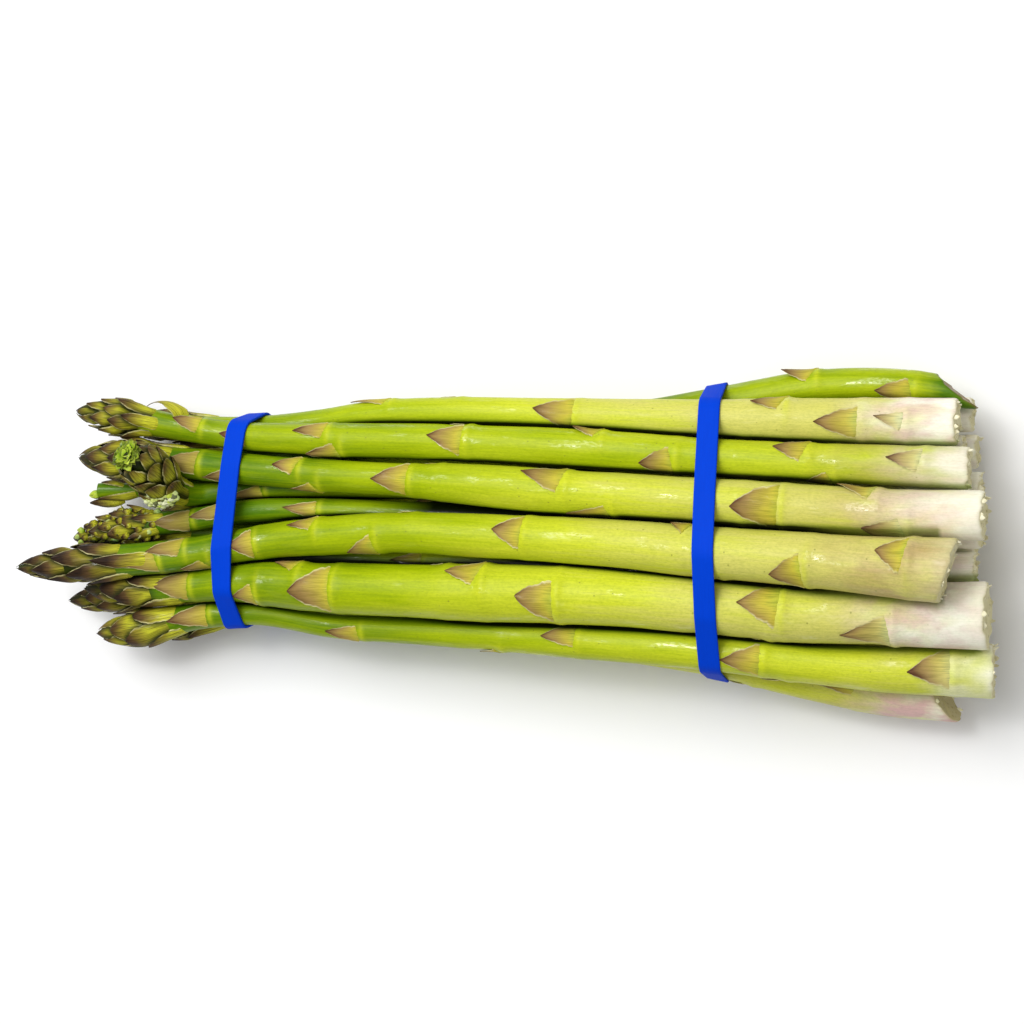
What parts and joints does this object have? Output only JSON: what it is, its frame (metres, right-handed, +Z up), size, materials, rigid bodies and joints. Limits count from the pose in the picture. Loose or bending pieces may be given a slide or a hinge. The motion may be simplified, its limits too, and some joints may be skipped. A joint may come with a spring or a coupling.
{
  "type": "bundle of asparagus",
  "caption": "Bunch of fresh green asparagus spears lying on its side, tied by two flat rubber bands, one behind the heads and one near the cut butts.",
  "frame": {"origin": "centre of the bunch's box, on the surface it lies on (the rubber bands' undersides)", "axes": "+X along the spears towards the cut butts, -X towards the tips, +Y across the bunch, +Z up"},
  "size_m": [0.2503, 0.0851, 0.0493],
  "materials": {
    "asparagus": "satin",
    "rubber_band": "matte"
  },
  "bodies": {
    "root": {"spear_01": "asparagus", "spear_02": "asparagus", "spear_03": "asparagus", "spear_04": "asparagus", "spear_05": "asparagus", "spear_06": "asparagus", "spear_07": "asparagus", "spear_08": "asparagus", "spear_09": "asparagus", "spear_10": "asparagus", "spear_11": "asparagus", "spear_12": "asparagus", "spear_13": "asparagus", "spear_14": "asparagus", "spear_15": "asparagus", "spear_16": "asparagus", "spear_17": "asparagus", "spear_18": "asparagus", "spear_19": "asparagus", "spear_20": "asparagus", "spear_21": "asparagus", "spear_22": "asparagus", "spear_23": "asparagus", "band_tips": "rubber_band", "band_butts": "rubber_band"}
  },
  "joints": []
}
